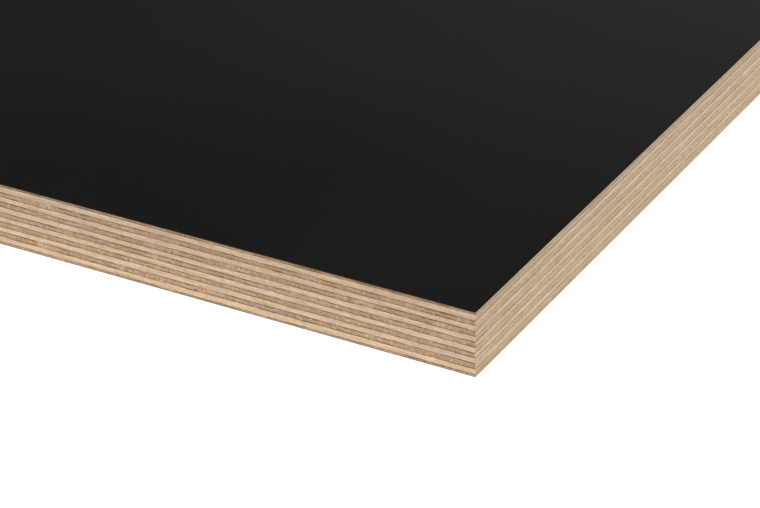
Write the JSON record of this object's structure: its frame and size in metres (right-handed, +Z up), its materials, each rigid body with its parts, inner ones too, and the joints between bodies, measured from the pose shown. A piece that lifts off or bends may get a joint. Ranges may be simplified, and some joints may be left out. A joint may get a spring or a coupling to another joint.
{
  "type": "film-faced plywood sheet",
  "caption": "Flat rectangular birch plywood sheet with thin black resin films on both faces and raw sawn edges showing the cross-laid veneers.",
  "frame": {"origin": "middle of the underside, at the bottom centre of the sheet's box", "axes": "+X along the long side, +Y along the short side, which is the grain direction of the face veneers, +Z up through the thickness"},
  "size_m": [2.5, 1.25, 0.018],
  "materials": {
    "film": "satin",
    "birch_short_grain": "matte",
    "birch_long_grain": "matte"
  },
  "bodies": {
    "root": {"film_top": "film", "face_veneer": "birch_short_grain", "inner_veneer_01": "birch_long_grain", "inner_veneer_02": "birch_short_grain", "inner_veneer_03": "birch_long_grain", "inner_veneer_04": "birch_short_grain", "inner_veneer_05": "birch_long_grain", "inner_veneer_06": "birch_short_grain", "inner_veneer_07": "birch_long_grain", "inner_veneer_08": "birch_short_grain", "inner_veneer_09": "birch_long_grain", "inner_veneer_10": "birch_short_grain", "inner_veneer_11": "birch_long_grain", "back_veneer": "birch_short_grain", "film_bottom": "film"}
  },
  "joints": []
}
